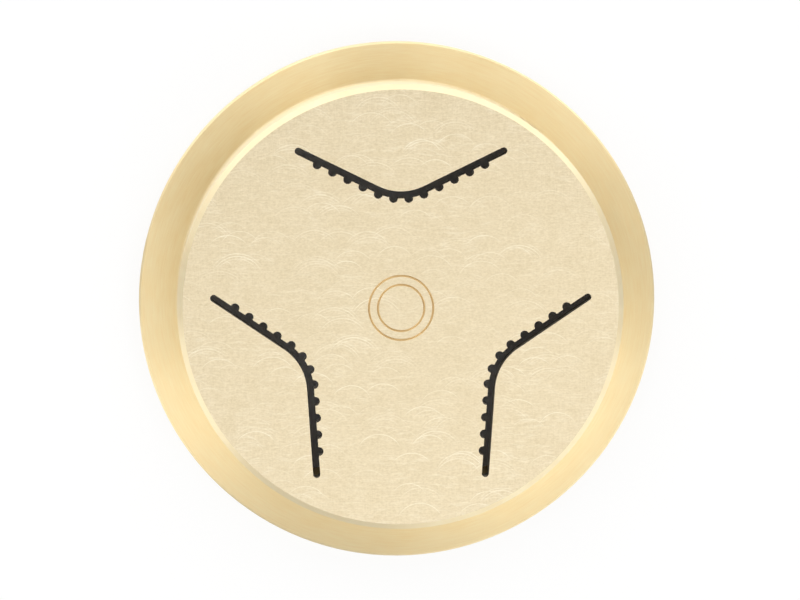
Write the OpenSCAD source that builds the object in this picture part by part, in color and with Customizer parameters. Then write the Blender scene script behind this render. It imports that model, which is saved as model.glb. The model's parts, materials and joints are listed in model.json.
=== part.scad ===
// Pasta extrusion die: one turned piece with a clamping flange and a raised boss.
// Bent slots with rib notches pierce the boss's face, and behind each slot a
// feed pocket is milled into the inlet side, leaving a thin land at the face.
// The origin is the centre of the inlet face, +Z runs along the axis towards the
// extrusion face, and +Y passes through the bend of the first slot.

/* [Flange] */
// Diameter of the flange that the extruder's ring nut clamps
flange_d = 59; // [54:0.5:80]
// Thickness of the flange
flange_t = 4; // [2:0.25:8]
// Edge break on both rims of the flange
flange_break = 0.2; // [0.1:0.05:0.8]

/* [Boss] */
// Diameter of the boss that carries the extrusion face
boss_d = 50; // [48:0.5:54]
// Height of the boss above the flange
boss_h = 10; // [4:0.5:20]
// Chamfer around the extrusion face
boss_chamfer = 0.6; // [0.2:0.1:1.2]
// Radius that the turning tool leaves in the corner between boss and flange
corner_r = 0.3; // [0.1:0.05:0.8]

/* [Slots] */
// Number of slots, evenly spaced around the axis
slot_count = 3; // [2:1:4]
// Width of a slot, which sets the thickness of the dough
slot_w = 0.8; // [0.6:0.05:1.2]
// Distance from the axis to the middle of the bend, at mid-width
bend_pos = 12.65; // [10:0.05:14]
// Radius of the bend at mid-width
bend_r = 6.15; // [5:0.05:8]
// Angle between each arm and the chord of the slot
arm_angle = 26; // [15:1:35]
// Straight length of each arm, from the bend to the centre of its round end
arm_len = 9.75; // [7:0.05:10.5]
// Thickness of the metal at the face that the slots are cut through
land_t = 2.5; // [1.5:0.25:4]

/* [Rib notches] */
// Notches along each arm, on the edge that faces the axis
notches_per_arm = 6; // [3:1:6]
// Radius of a notch
notch_r = 0.5; // [0.3:0.05:0.6]
// Distance from the slot's mid-width to the centres of the notches
notch_offset = 0.44; // [0.3:0.02:0.6]
// Spacing of the notches along the chord of the slot
notch_pitch = 1.7; // [1.3:0.05:1.8]

/* [Feed pockets] */
// Width of the pocket behind each slot
pocket_w = 6; // [4:0.25:7]
// Distance that a pocket reaches past each end of its slot
pocket_lap = 0.6; // [0.2:0.1:1.2]
// Chamfer around the mouth of a pocket
mouth_chamfer = 0.5; // [0.2:0.1:1]

/* [Centre mark] */
// Radius of the outer of two fine rings that are turned into the middle of the face
ring_outer_r = 3.6; // [3.2:0.1:6]
// Radius of the inner ring
ring_inner_r = 2.6; // [1:0.1:3]
// Width of a ring's V groove
ring_w = 0.25; // [0.1:0.05:0.5]

/* [Hidden] */
$fn = 96;
brass = [0.91, 0.84, 0.68];

// How far a cut runs past the surface that it opens, and half a slot past its middle
overrun = 0.1;
flange_r = flange_d / 2;
boss_r = boss_d / 2;
die_h = flange_t + boss_h;
pocket_depth = die_h - land_t;
pocket_arm = arm_len + (slot_w - pocket_w) / 2 + pocket_lap;
bend_centre = bend_pos + bend_r;
notch_path_r = bend_r + notch_offset;
notch_bend_chord = notch_path_r * sin(arm_angle);
// Half the cross-section of a pocket, from its floor down to its chamfered mouth
pocket_half_section = [
    [0, pocket_depth],
    [pocket_w / 2, pocket_depth],
    [pocket_w / 2, mouth_chamfer],
    [pocket_w / 2 + mouth_chamfer + overrun, -overrun],
    [0, -overrun]
];
// Farther out than any point of a slot or a pocket
reach = boss_d;

// Outline of half the turned blank, from the axis outwards
module blank_profile() {
    difference() {
        polygon([
            [0, 0],
            [flange_r - flange_break, 0],
            [flange_r, flange_break],
            [flange_r, flange_t - flange_break],
            [flange_r - flange_break, flange_t],
            [boss_r + corner_r, flange_t],
            [boss_r, flange_t + corner_r],
            [boss_r, die_h - boss_chamfer],
            [boss_r - boss_chamfer, die_h],
            [0, die_h]
        ]);
        translate([boss_r + corner_r, flange_t + corner_r])
            circle(r = corner_r);
        for (r = [ring_inner_r, ring_outer_r])
            translate([r, die_h])
                rotate(45)
                    square(ring_w / sqrt(2), center = true);
    }
}

// Places what is drawn about the bend's centre, for both halves of every slot
module each_slot_half() {
    for (i = [0 : slot_count - 1], side = [0, 1])
        rotate(i * 360 / slot_count)
            mirror([side, 0, 0])
                translate([0, bend_centre, 0])
                    children();
}

// Half of a slot's outline: half the bend, one arm with its round end, and the notches
module half_slot() {
    intersection() {
        union() {
            rotate(arm_angle) {
                intersection() {
                    difference() {
                        circle(r = bend_r + slot_w / 2);
                        circle(r = bend_r - slot_w / 2);
                    }
                    translate([-reach, -reach])
                        square(reach);
                }
                translate([0, -bend_r - slot_w / 2])
                    square([arm_len, slot_w]);
                translate([arm_len, -bend_r])
                    circle(d = slot_w);
            }
            for (i = [0 : notches_per_arm - 1])
                notch((i + 0.5) * notch_pitch);
        }
        translate([-overrun, -reach])
            square([reach, 2 * reach]);
    }
}

// One notch at a distance along the chord, on the bend or on the arm beyond it
module notch(chord) {
    on_bend = chord < notch_bend_chord;
    turn = on_bend ? asin(chord / notch_path_r) : arm_angle;
    along = on_bend ? 0 : (chord - notch_bend_chord) / cos(arm_angle);
    rotate(turn)
        translate([along, -notch_path_r])
            circle(r = notch_r);
}

// Half of a pocket: its section turned round the bend, run along the arm and turned round the end
module half_pocket() {
    intersection() {
        rotate(arm_angle) {
            intersection() {
                rotate_extrude()
                    translate([bend_r, 0])
                        pocket_section();
                translate([-reach, -reach, -reach])
                    cube([reach, reach, 2 * reach]);
            }
            translate([0, -bend_r, 0])
                rotate([90, 0, 90])
                    linear_extrude(pocket_arm)
                        pocket_section();
            translate([pocket_arm, -bend_r, 0])
                rotate_extrude()
                    polygon(pocket_half_section);
        }
        translate([-overrun, -reach, -reach])
            cube([reach, 2 * reach, 2 * reach]);
    }
}

// Whole cross-section of a pocket
module pocket_section() {
    for (side = [0, 1])
        mirror([side, 0])
            polygon(pocket_half_section);
}

module die() {
    color(brass)
        difference() {
            rotate_extrude()
                blank_profile();
            each_slot_half()
                half_pocket();
            translate([0, 0, pocket_depth - overrun])
                linear_extrude(land_t + 2 * overrun)
                    each_slot_half()
                        half_slot();
        }
}

die();
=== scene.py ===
"""Pasta extrusion die: finishes of the turned and sanded brass, floor, light and camera."""
import json
import math

import bpy
from mathutils import Matrix, Vector


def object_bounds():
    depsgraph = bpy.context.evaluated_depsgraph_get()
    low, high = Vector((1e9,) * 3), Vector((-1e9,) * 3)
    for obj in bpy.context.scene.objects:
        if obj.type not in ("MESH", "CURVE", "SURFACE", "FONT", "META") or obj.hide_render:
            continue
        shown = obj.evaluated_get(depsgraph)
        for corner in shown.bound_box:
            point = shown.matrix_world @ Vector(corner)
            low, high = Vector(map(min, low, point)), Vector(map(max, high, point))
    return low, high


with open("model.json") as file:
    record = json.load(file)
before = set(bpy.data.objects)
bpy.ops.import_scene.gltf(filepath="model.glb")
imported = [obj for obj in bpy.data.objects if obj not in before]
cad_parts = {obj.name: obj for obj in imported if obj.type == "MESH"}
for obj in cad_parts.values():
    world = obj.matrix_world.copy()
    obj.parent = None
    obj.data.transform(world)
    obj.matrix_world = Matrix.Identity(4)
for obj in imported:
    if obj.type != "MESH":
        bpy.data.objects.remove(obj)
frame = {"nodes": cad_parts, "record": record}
cad_low, cad_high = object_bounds()

MM = 0.001

# Sizes of the die in metres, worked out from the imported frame
MOUNTS = {mount["name"]: mount for mount in frame["record"]["mounts"]}
OPENINGS = frame["record"]["physics"]["openings"]
DIE_H = cad_high[2] - cad_low[2]
FLANGE_R = (cad_high[0] - cad_low[0]) / 2
FLANGE_T = MOUNTS["clamp_shoulder"]["pos_m"][2]
EDGE_BREAK = (FLANGE_T - MOUNTS["flange_rim"]["dims"]["length_mm"] * MM) / 2
BOSS_R = MOUNTS["boss"]["dims"]["r_mm"] * MM
WALL_MIDDLE = MOUNTS["boss"]["pos_m"][2]
WALL_HALF = MOUNTS["boss"]["dims"]["length_mm"] * MM / 2
WALL_TOP = WALL_MIDDLE + WALL_HALF
CORNER_R = WALL_MIDDLE - WALL_HALF - FLANGE_T
POCKET_TOP = max(opening["box_m"][1][2] for opening in OPENINGS)
FACE_R = BOSS_R - (DIE_H - WALL_TOP)

# Photograph's frame in pixels, the pixel of the centre of the flange's front, and the scale there
IMAGE_W = 800
IMAGE_H = 600
FLANGE_PIXEL = (397.4, 300.2)
PIXELS_PER_M = 8747

# Camera: distance to the flange's front, lean away from the die's axis and bearing of the lean
CAMERA_DISTANCE = 0.445
CAMERA_LEAN = math.radians(5.55)
CAMERA_BEARING = math.radians(115.9)
CLIP_START = CAMERA_DISTANCE / 10
SENSOR_W = 36.0

# Floor, a hair below the die
FLOOR_HALF = 2.0
FLOOR_GAP = 0.01 * MM
FLOOR_COLOUR = (0.95, 0.95, 0.95, 1)
# Share of plain white in what the camera sees of the floor, beside the die and below it
FLOOR_WHITE = 0.84
FLOOR_BELOW = 0.015
# From here to the flange's rim, the share goes from the one below to the one beside
BELOW_R = 0.98 * FLANGE_R

# Light of the tent: its even level and the panels that add to it or shade it
TENT_LEVEL = 0.86
PANEL_FADE = 0.08
# Bearing, half width and softness in degrees, lower and upper height, added light
PANELS = (
    # Near the horizon, for the chamfer and the rims
    (90, 62, 12, -1.0, 0.22, 1.7),
    (179, 8, 6, -1.0, 0.3, -0.7),
    (207, 14, 6, -1.0, 0.3, 0.5),
    (299, 12, 6, -1.0, 0.3, 0.1),
    (332, 15, 8, -1.0, 0.3, 0.5),
    (357, 9, 8, -1.0, 0.3, -0.3),
    # Higher up, for the fans on the flange
    (4, 14, 8, 0.5, 0.88, -0.85),
    (46, 14, 6, 0.64, 0.88, 1.1),
    (73, 7, 5, 0.64, 0.88, 1.9),
    (91, 7, 4, 0.64, 0.88, 0.4),
    (114, 12, 5, 0.64, 0.88, 2.2),
    (142, 14, 5, 0.64, 0.88, 0.4),
    (176, 12, 8, 0.64, 0.88, 1.0),
    (219, 12, 6, 0.64, 0.88, 2.0),
    (315, 22, 10, 0.64, 0.88, 1.75),
    # From the horizon up, for the chamfer and the flange together
    (252, 20, 8, -1.0, 0.85, -0.5),
    # Overhead, for the slow change of light across the face
    (116, 75, 15, 0.88, 1.2, -0.9),
    (296, 75, 15, 0.88, 1.2, 0.8),
)

# What all finishes share: the swing of the roughness, and the height of the bump
ROUGH_SWING = 0.15
BUMP_H = 0.002 * MM

# Sanded face: its two tones, and what the clouds and the grain add to the mix of them
FACE_DEEP = (0.64, 0.525, 0.325, 1)
FACE_PALE = (0.885, 0.775, 0.565, 1)
FACE_ROUGH = 0.46
FACE_SHIFT = -0.18
FACE_CLOUD = 2.5 * MM
FACE_CLOUD_SHARE = 0.2
GRAIN_SIZE = 0.16 * MM
GRAIN_SHAPE = (0.6, 1, 1)
GRAIN_DETAIL = 3.0
GRAIN_SHARE = 1.1

# Faint weave of the face, which grows from a radius to the edge
THREAD_L = 1.2 * MM
THREAD_SLIM = 9
WEAVE_R = 0.5 * FACE_R
WEAVE_LEAST = 0.15
WEAVE_MOST = 0.4

# Pale lines on the face, the arcs and the wisps, which come and go in patches; on the arcs the
# pale is a painted glint
SCRATCH_AND_GLINT_PALE = (1.0, 0.94, 0.78, 1)
SCRATCH_AND_GLINT_SHARE = 0.68
PATCH_SIZE = 8 * MM
PATCH_LOW = 0.3
PATCH_HIGH = 0.65
PATCH_LEAST = 0.35

# Arcs of the rotary sander: one in each square of a layer's grid
ARC_LAYERS = 10
LAYER_TURN = 2.4
LAYER_SHIFT = (0.37, 0.71)
ARC_GRID = 6.6 * MM
ARC_LEAST_R = 2.1 * MM
ARC_MOST_R = 3.1 * MM
ARC_HALF_W = 0.065 * MM
# Least place of an arc's centre along each side of its square, and how far it strays from there
ARC_CENTRE = 0.47
ARC_STRAY = 0.06
# Draw up to which an arc stays unseen
ARC_UNSEEN = 0.15
# Cosines of the angle from an arc's top at which its painted glint ends and is full, and how far
# they stray
ARC_GLINT_END = 0.35
ARC_GLINT_FULL = 0.8
ARC_GLINT_STRAY = 0.2
# Gap from an arc to its fainter pair, and the draws at which the pair sets in and is full
PAIR_GAP = 0.3 * MM
PAIR_FROM = 0.5
PAIR_FULL = 0.9
PAIR_SHARE = 0.6

# Wisps, the short scratches between the arcs, which rise and fall with clouds
WISP_W = 0.16 * MM
WISP_L = 1.5 * MM
WISP_CLOUD = 3.0 * MM
WISP_RISE = 1.2 * MM
WISP_FROM = 0.5
WISP_FULL = 0.75
WISP_SHARE = 0.36

# Turned surfaces: their two tones, and what streaks, bands and clouds add to the mix of them
TURNED_DEEP = (0.91, 0.70, 0.37, 1)
TURNED_PALE = (1.0, 0.88, 0.58, 1)
TURNED_ROUGH = 0.46
TURNED_STRETCH = 0.92
QUARTER_TURN = 0.25
TURNED_SHIFT = -0.3
STREAK_PITCH = 0.14 * MM
STREAK_LENGTH = 2.5 * MM
STREAK_SHARE = 0.9
BANDS_PER_STREAK = 0.12
BAND_SHARE = 0.35
TURNED_CLOUD = 5 * MM
TURNED_CLOUD_SHARE = 0.35

# Boss's wall and the chamfer above it, made paler by a painted sheen of the bright light they
# mirror, and the bevels, which are smoother
WALL_SHEEN_PALE = (1.0, 0.95, 0.78, 1)
WALL_SHEEN_SHARE = 0.4
WALL_ROUGH = 0.5
CHAMFER_SHEEN_SHARE = 0.2
BEVEL_ROUGH = 0.35

# Slots, whose walls are painted dark as shade in the narrow cuts, feed pockets, and the two
# rings, which alone are cut within the middle of the face
SLOT_SHADE_COLOUR = (0.3, 0.27, 0.22, 1)
POCKET_COLOUR = (0.72, 0.56, 0.28, 1)
RING_COLOUR = (0.8, 0.6, 0.32, 1)
MIDDLE_R = 0.2 * FACE_R
MIDDLE_END_R = 0.25 * FACE_R

# Half the width of the change from one zone of the brass to the next
SKIN = 0.01 * MM


class Graph:
    """Short calls that add nodes to one node tree. A value is a socket, a number or a tuple."""

    def __init__(self, tree):
        self.tree = tree
        tree.nodes.clear()

    def node(self, kind, **settings):
        made = self.tree.nodes.new(kind)
        for name, value in settings.items():
            setattr(made, name, value)
        return made

    def feed(self, socket, value):
        if isinstance(value, bpy.types.NodeSocket):
            self.tree.links.new(value, socket)
        else:
            socket.default_value = value

    def math(self, operation, *values):
        made = self.node("ShaderNodeMath", operation=operation)
        for socket, value in zip(made.inputs, values):
            self.feed(socket, value)
        return made.outputs[0]

    def times(self, *values):
        product = values[0]
        for value in values[1:]:
            product = self.math("MULTIPLY", product, value)
        return product

    def plus(self, *values):
        total = values[0]
        for value in values[1:]:
            total = self.math("ADD", total, value)
        return total

    def outside(self, *masks):
        """What is left of 1 when masks that don't lap are taken from it."""
        rest = 1.0
        for mask in masks:
            rest = self.math("SUBTRACT", rest, mask)
        return rest

    def vector(self, operation, *values):
        made = self.node("ShaderNodeVectorMath", operation=operation)
        for socket, value in zip(made.inputs, values):
            self.feed(socket, value)
        return made.outputs["Value" if operation in ("LENGTH", "DOT_PRODUCT") else "Vector"]

    def split(self, vector):
        made = self.node("ShaderNodeSeparateXYZ")
        self.feed(made.inputs[0], vector)
        return made.outputs

    def combine(self, x, y, z):
        made = self.node("ShaderNodeCombineXYZ")
        for socket, value in zip(made.inputs, (x, y, z)):
            self.feed(socket, value)
        return made.outputs[0]

    def step(self, value, low, high, start=0.0, end=1.0):
        """Smooth change from start to end while value goes from low to high."""
        made = self.node("ShaderNodeMapRange", interpolation_type="SMOOTHSTEP")
        for socket, number in zip(made.inputs, (value, low, high, start, end)):
            self.feed(socket, number)
        return made.outputs[0]

    def mix(self, share, first, second):
        """Colour or number between first and second."""
        is_number = isinstance(first, float) or getattr(first, "type", "") == "VALUE"
        made = self.node("ShaderNodeMix", data_type="FLOAT" if is_number else "RGBA")
        wanted = "VALUE" if is_number else "RGBA"
        ends = [socket for socket in made.inputs[1:] if socket.type == wanted and socket.enabled]
        self.feed(made.inputs[0], share)
        self.feed(ends[-2], first)
        self.feed(ends[-1], second)
        return next(socket for socket in made.outputs if socket.type == wanted and socket.enabled)

    def noise(self, place, size, detail=2.0):
        """Cloudy value around 0.5 whose clouds are about size across."""
        made = self.node("ShaderNodeTexNoise")
        self.feed(made.inputs["Vector"], place)
        self.feed(made.inputs["Scale"], 1 / size)
        self.feed(made.inputs["Detail"], detail)
        return made.outputs[0]

    def mix_shader(self, share, first, second):
        made = self.node("ShaderNodeMixShader")
        for socket, value in zip(made.inputs, (share, first.outputs[0], second.outputs[0])):
            self.feed(socket, value)
        return made


def add_object(name, data):
    made = bpy.data.objects.new(name, data)
    bpy.context.scene.collection.objects.link(made)
    return made


def make_camera():
    """Looks down on the die so that the centre of the flange's front falls on its pixel."""
    data = bpy.data.cameras.new("camera")
    data.sensor_width = SENSOR_W
    data.lens = PIXELS_PER_M * CAMERA_DISTANCE * SENSOR_W / IMAGE_W
    data.clip_start = CLIP_START
    aim = Vector((
        (IMAGE_W / 2 - FLANGE_PIXEL[0]) / PIXELS_PER_M,
        (FLANGE_PIXEL[1] - IMAGE_H / 2) / PIXELS_PER_M,
        FLANGE_T,
    ))
    away = Vector((
        math.sin(CAMERA_LEAN) * math.cos(CAMERA_BEARING),
        math.sin(CAMERA_LEAN) * math.sin(CAMERA_BEARING),
        math.cos(CAMERA_LEAN),
    ))
    right = Vector((0, 1, 0)).cross(away).normalized()
    turn = Matrix((right, away.cross(right), away)).transposed().to_4x4()
    camera = add_object("camera", data)
    camera.matrix_world = Matrix.Translation(aim + CAMERA_DISTANCE * away) @ turn
    bpy.context.scene.camera = camera


def make_floor():
    """Pale floor that shows nearly white and keeps the die's shade."""
    half, z = FLOOR_HALF, -FLOOR_GAP
    corners = [(-half, -half, z), (half, -half, z), (half, half, z), (-half, half, z)]
    data = bpy.data.meshes.new("floor")
    data.from_pydata(corners, [], [(0, 1, 2, 3)])
    material = bpy.data.materials.new("floor")
    material.use_nodes = True
    g = Graph(material.node_tree)
    matte = g.node("ShaderNodeBsdfDiffuse")
    matte.inputs["Color"].default_value = FLOOR_COLOUR
    white = g.node("ShaderNodeEmission")
    path = g.node("ShaderNodeLightPath").outputs
    mirrored = g.math("MAXIMUM", path["Is Glossy Ray"], path["Is Transmission Ray"])
    seen = g.math("MAXIMUM", path["Is Camera Ray"], mirrored)
    x, y, _ = g.split(g.node("ShaderNodeTexCoord").outputs["Object"])
    radius = g.vector("LENGTH", g.combine(x, y, 0.0))
    share = g.step(radius, BELOW_R, FLANGE_R, FLOOR_BELOW, FLOOR_WHITE)
    surface = g.mix_shader(g.times(seen, share), matte, white)
    g.feed(g.node("ShaderNodeOutputMaterial").inputs["Surface"], surface.outputs[0])
    data.materials.append(material)
    add_object("floor", data)


def make_tent():
    """Soft light from all round, with panels that the turned flange mirrors as fans."""
    world = bpy.data.worlds.new("tent")
    world.use_nodes = True
    bpy.context.scene.world = world
    g = Graph(world.node_tree)
    direction = g.vector("NORMALIZE", g.node("ShaderNodeTexCoord").outputs["Generated"])
    level = g.vector("NORMALIZE", g.vector("MULTIPLY", direction, (1, 1, 0)))
    height = g.split(direction)[2]
    light = TENT_LEVEL
    for bearing, half_width, soft, low, high, gain in PANELS:
        turn = math.radians(bearing)
        closeness = g.vector("DOT_PRODUCT", level, (math.cos(turn), math.sin(turn), 0))
        outer = math.cos(math.radians(half_width + soft))
        inner = math.cos(math.radians(half_width - soft))
        above = g.step(height, low - PANEL_FADE, low + PANEL_FADE)
        below = g.step(height, high - PANEL_FADE, high + PANEL_FADE, 1.0, 0.0)
        light = g.plus(light, g.times(g.step(closeness, outer, inner), above, below, gain))
    background = g.node("ShaderNodeBackground")
    background.inputs["Color"].default_value = (1, 1, 1, 1)
    g.feed(background.inputs["Strength"], g.math("MAXIMUM", light, 0.0))
    g.feed(g.node("ShaderNodeOutputWorld").inputs["Surface"], background.outputs[0])


def sander_arcs_and_glint(g, place):
    """Fine arcs that a small rotary sander leaves, single or in pairs, painted pale as a glint
    only near each arc's top, where it runs across.
    """
    total = 0.0
    for layer in range(ARC_LAYERS):
        turn = LAYER_TURN * layer
        turned = g.node("ShaderNodeVectorRotate", rotation_type="Z_AXIS")
        g.feed(turned.inputs["Vector"], place)
        g.feed(turned.inputs["Angle"], turn)
        flat = g.vector("MULTIPLY", turned.outputs[0], (1 / ARC_GRID, 1 / ARC_GRID, 0))
        shift = (LAYER_SHIFT[0] * layer, LAYER_SHIFT[1] * layer, layer)
        spot = g.vector("ADD", flat, shift)
        chance = g.node("ShaderNodeTexWhiteNoise", noise_dimensions="3D")
        g.feed(chance.inputs["Vector"], g.vector("FLOOR", spot))
        draw, draws = chance.outputs["Value"], chance.outputs["Color"]
        pair_draw, end_draw, seen_draw = g.split(draws)

        stray = (ARC_STRAY, ARC_STRAY, 0)
        centre = g.vector("MULTIPLY_ADD", draws, stray, (ARC_CENTRE, ARC_CENTRE, 0))
        offset = g.vector("SUBTRACT", g.vector("FRACTION", spot), centre)
        reach = g.times(g.vector("LENGTH", offset), ARC_GRID)
        radius = g.math("MULTIPLY_ADD", draw, ARC_MOST_R - ARC_LEAST_R, ARC_LEAST_R)
        away = g.math("ABSOLUTE", g.math("SUBTRACT", reach, radius))
        beside = g.math("ABSOLUTE", g.plus(away, -PAIR_GAP))
        first = g.step(away, 0.0, ARC_HALF_W, 1.0, 0.0)
        second = g.step(beside, 0.0, ARC_HALF_W, 1.0, 0.0)
        pair_share = g.step(pair_draw, PAIR_FROM, PAIR_FULL, 0.0, PAIR_SHARE)
        line = g.math("MAXIMUM", first, g.times(second, pair_share))

        # Painted glint: only the part of an arc near its top, which runs across, is drawn pale
        up = (-math.sin(turn), math.cos(turn), 0)
        upward = g.vector("DOT_PRODUCT", g.vector("NORMALIZE", offset), up)
        upper = g.step(g.plus(upward, g.times(end_draw, -ARC_GLINT_STRAY)), ARC_GLINT_END, ARC_GLINT_FULL)
        strength = g.step(seen_draw, ARC_UNSEEN, 1.0)
        total = g.math("MAXIMUM", total, g.times(line, upper, strength))
    return total


def wisps(g, place):
    """Short pale scratches, mostly across."""
    rise = g.times(g.plus(g.noise(place, WISP_CLOUD), -0.5), WISP_RISE)
    bent = g.vector("ADD", place, g.combine(0.0, rise, 0.0))
    drawn_out = g.vector("MULTIPLY", bent, (WISP_W / WISP_L, 1, 1))
    return g.step(g.noise(drawn_out, WISP_W, 1.0), WISP_FROM, WISP_FULL)


def face_finish(g, place, radius):
    """Colour, roughness and height of the sanded face."""
    clouds = g.noise(place, FACE_CLOUD)
    grain = g.noise(g.vector("MULTIPLY", place, GRAIN_SHAPE), GRAIN_SIZE, GRAIN_DETAIL)
    across = g.noise(g.vector("MULTIPLY", place, (1, THREAD_SLIM, 1)), THREAD_L)
    along = g.noise(g.vector("MULTIPLY", place, (THREAD_SLIM, 1, 1)), THREAD_L)
    weave_share = g.step(radius, WEAVE_R, FACE_R, WEAVE_LEAST, WEAVE_MOST)
    weave = g.times(g.plus(across, along, -1.0), weave_share)
    tone = g.plus(
        g.times(clouds, FACE_CLOUD_SHARE), g.times(grain, GRAIN_SHARE), weave, FACE_SHIFT,
    )
    # Pale of the scratches, a painted glint on the arcs, laid over the plain tone
    lines = g.plus(sander_arcs_and_glint(g, place), g.times(wisps(g, place), WISP_SHARE))
    patchy = g.step(g.noise(place, PATCH_SIZE), PATCH_LOW, PATCH_HIGH, PATCH_LEAST, 1.0)
    plain = g.mix(tone, FACE_DEEP, FACE_PALE)
    colour = g.mix(g.times(lines, patchy, SCRATCH_AND_GLINT_SHARE), plain, SCRATCH_AND_GLINT_PALE)
    rough = g.plus(FACE_ROUGH, g.times(g.plus(grain, -0.5), ROUGH_SWING))
    height = g.plus(g.times(grain, BUMP_H), g.times(weave, BUMP_H))
    return colour, rough, height


def turned_finish(g, place, radius):
    """Colour, change of roughness and height of the surfaces that were cut on the lathe."""
    x, y, z = g.split(place)
    round_share = BOSS_R / STREAK_LENGTH
    around = g.combine(
        g.times(g.math("DIVIDE", x, radius), round_share),
        g.times(g.math("DIVIDE", y, radius), round_share),
        g.times(g.plus(radius, z), 1 / STREAK_PITCH),
    )
    streak = g.noise(around, 1.0)
    band = g.noise(g.vector("MULTIPLY", around, (1, 1, BANDS_PER_STREAK)), 1.0)
    clouds = g.noise(place, TURNED_CLOUD)
    tone = g.plus(
        g.times(streak, STREAK_SHARE), g.times(band, BAND_SHARE),
        g.times(clouds, TURNED_CLOUD_SHARE), TURNED_SHIFT,
    )
    colour = g.mix(tone, TURNED_DEEP, TURNED_PALE)
    rough = g.times(g.plus(streak, -0.5), ROUGH_SWING)
    height = g.times(streak, BUMP_H)
    return colour, rough, height


def die_zones(g, radius, z):
    """Masks of the zones that have a look of their own."""
    inside = g.step(radius, FACE_R - SKIN, FACE_R + SKIN, 1.0, 0.0)
    top = g.step(z, DIE_H - 2 * SKIN, DIE_H - SKIN)
    bottom = g.step(z, SKIN, 2 * SKIN, 1.0, 0.0)
    chamfer = g.times(g.outside(inside), g.step(z, WALL_TOP - SKIN, WALL_TOP + SKIN))
    break_r = FLANGE_R - EDGE_BREAK
    rims = g.step(radius, break_r - SKIN, break_r + SKIN)
    within_boss = g.step(radius, BOSS_R + SKIN, BOSS_R + CORNER_R, 1.0, 0.0)
    boss = g.times(within_boss, g.step(z, FLANGE_T - SKIN, FLANGE_T))
    return {
        "face": g.times(inside, top),
        "hollow": g.times(inside, g.outside(top, bottom)),
        "middle": g.step(radius, MIDDLE_R, MIDDLE_END_R, 1.0, 0.0),
        "land": g.step(z, POCKET_TOP, POCKET_TOP + 2 * SKIN),
        "chamfer": chamfer,
        "bevel": g.math("MAXIMUM", chamfer, rims),
        "wall": g.times(boss, g.outside(inside, chamfer)),
    }


def make_brass():
    """One metal whose colour, roughness and bump follow the zones of the die."""
    material = bpy.data.materials.new("brass")
    material.use_nodes = True
    g = Graph(material.node_tree)
    place = g.node("ShaderNodeTexCoord").outputs["Object"]
    x, y, z = g.split(place)
    radius = g.vector("LENGTH", g.combine(x, y, 0.0))
    zone = die_zones(g, radius, z)
    face_colour, face_rough, face_height = face_finish(g, place, radius)
    turned_colour, turned_rough, turned_height = turned_finish(g, place, radius)

    # Painted sheen: the wall and the chamfer are mixed toward a pale tone that stands in for the
    # light they mirror
    painted_sheen_share = g.plus(
        g.times(zone["wall"], WALL_SHEEN_SHARE), g.times(zone["chamfer"], CHAMFER_SHEEN_SHARE),
    )
    outer_colour = g.mix(painted_sheen_share, turned_colour, WALL_SHEEN_PALE)
    surface_colour = g.mix(zone["face"], outer_colour, face_colour)
    # Above the pockets, the slot walls take the painted shade
    cut_colour = g.mix(zone["land"], POCKET_COLOUR, SLOT_SHADE_COLOUR)
    hollow_colour = g.mix(zone["middle"], cut_colour, RING_COLOUR)
    colour = g.mix(zone["hollow"], surface_colour, hollow_colour)
    bump = g.node("ShaderNodeBump")
    g.feed(bump.inputs["Strength"], 1.0)
    g.feed(bump.inputs["Distance"], 1.0)
    g.feed(bump.inputs["Height"], g.mix(zone["face"], turned_height, face_height))

    sanded = g.node("ShaderNodeBsdfPrincipled")
    g.feed(sanded.inputs["Roughness"], face_rough)
    turned = g.node("ShaderNodeBsdfPrincipled")
    flat_rough = g.mix(zone["wall"], TURNED_ROUGH, WALL_ROUGH)
    base_rough = g.mix(zone["bevel"], flat_rough, BEVEL_ROUGH)
    g.feed(turned.inputs["Roughness"], g.plus(turned_rough, base_rough))
    turned.inputs["Anisotropic"].default_value = TURNED_STRETCH
    turned.inputs["Anisotropic Rotation"].default_value = QUARTER_TURN
    tangent = g.node("ShaderNodeTangent", direction_type="RADIAL", axis="Z")
    g.feed(turned.inputs["Tangent"], tangent.outputs[0])
    for shader in (sanded, turned):
        shader.inputs["Metallic"].default_value = 1.0
        g.feed(shader.inputs["Base Color"], colour)
        g.feed(shader.inputs["Normal"], bump.outputs[0])
    surface = g.mix_shader(zone["face"], turned, sanded)
    g.feed(g.node("ShaderNodeOutputMaterial").inputs["Surface"], surface.outputs[0])
    return material


make_camera()
make_floor()
make_tent()
frame["nodes"]["die"].material_slots[0].material = make_brass()
bpy.context.scene.view_settings.view_transform = "Standard"
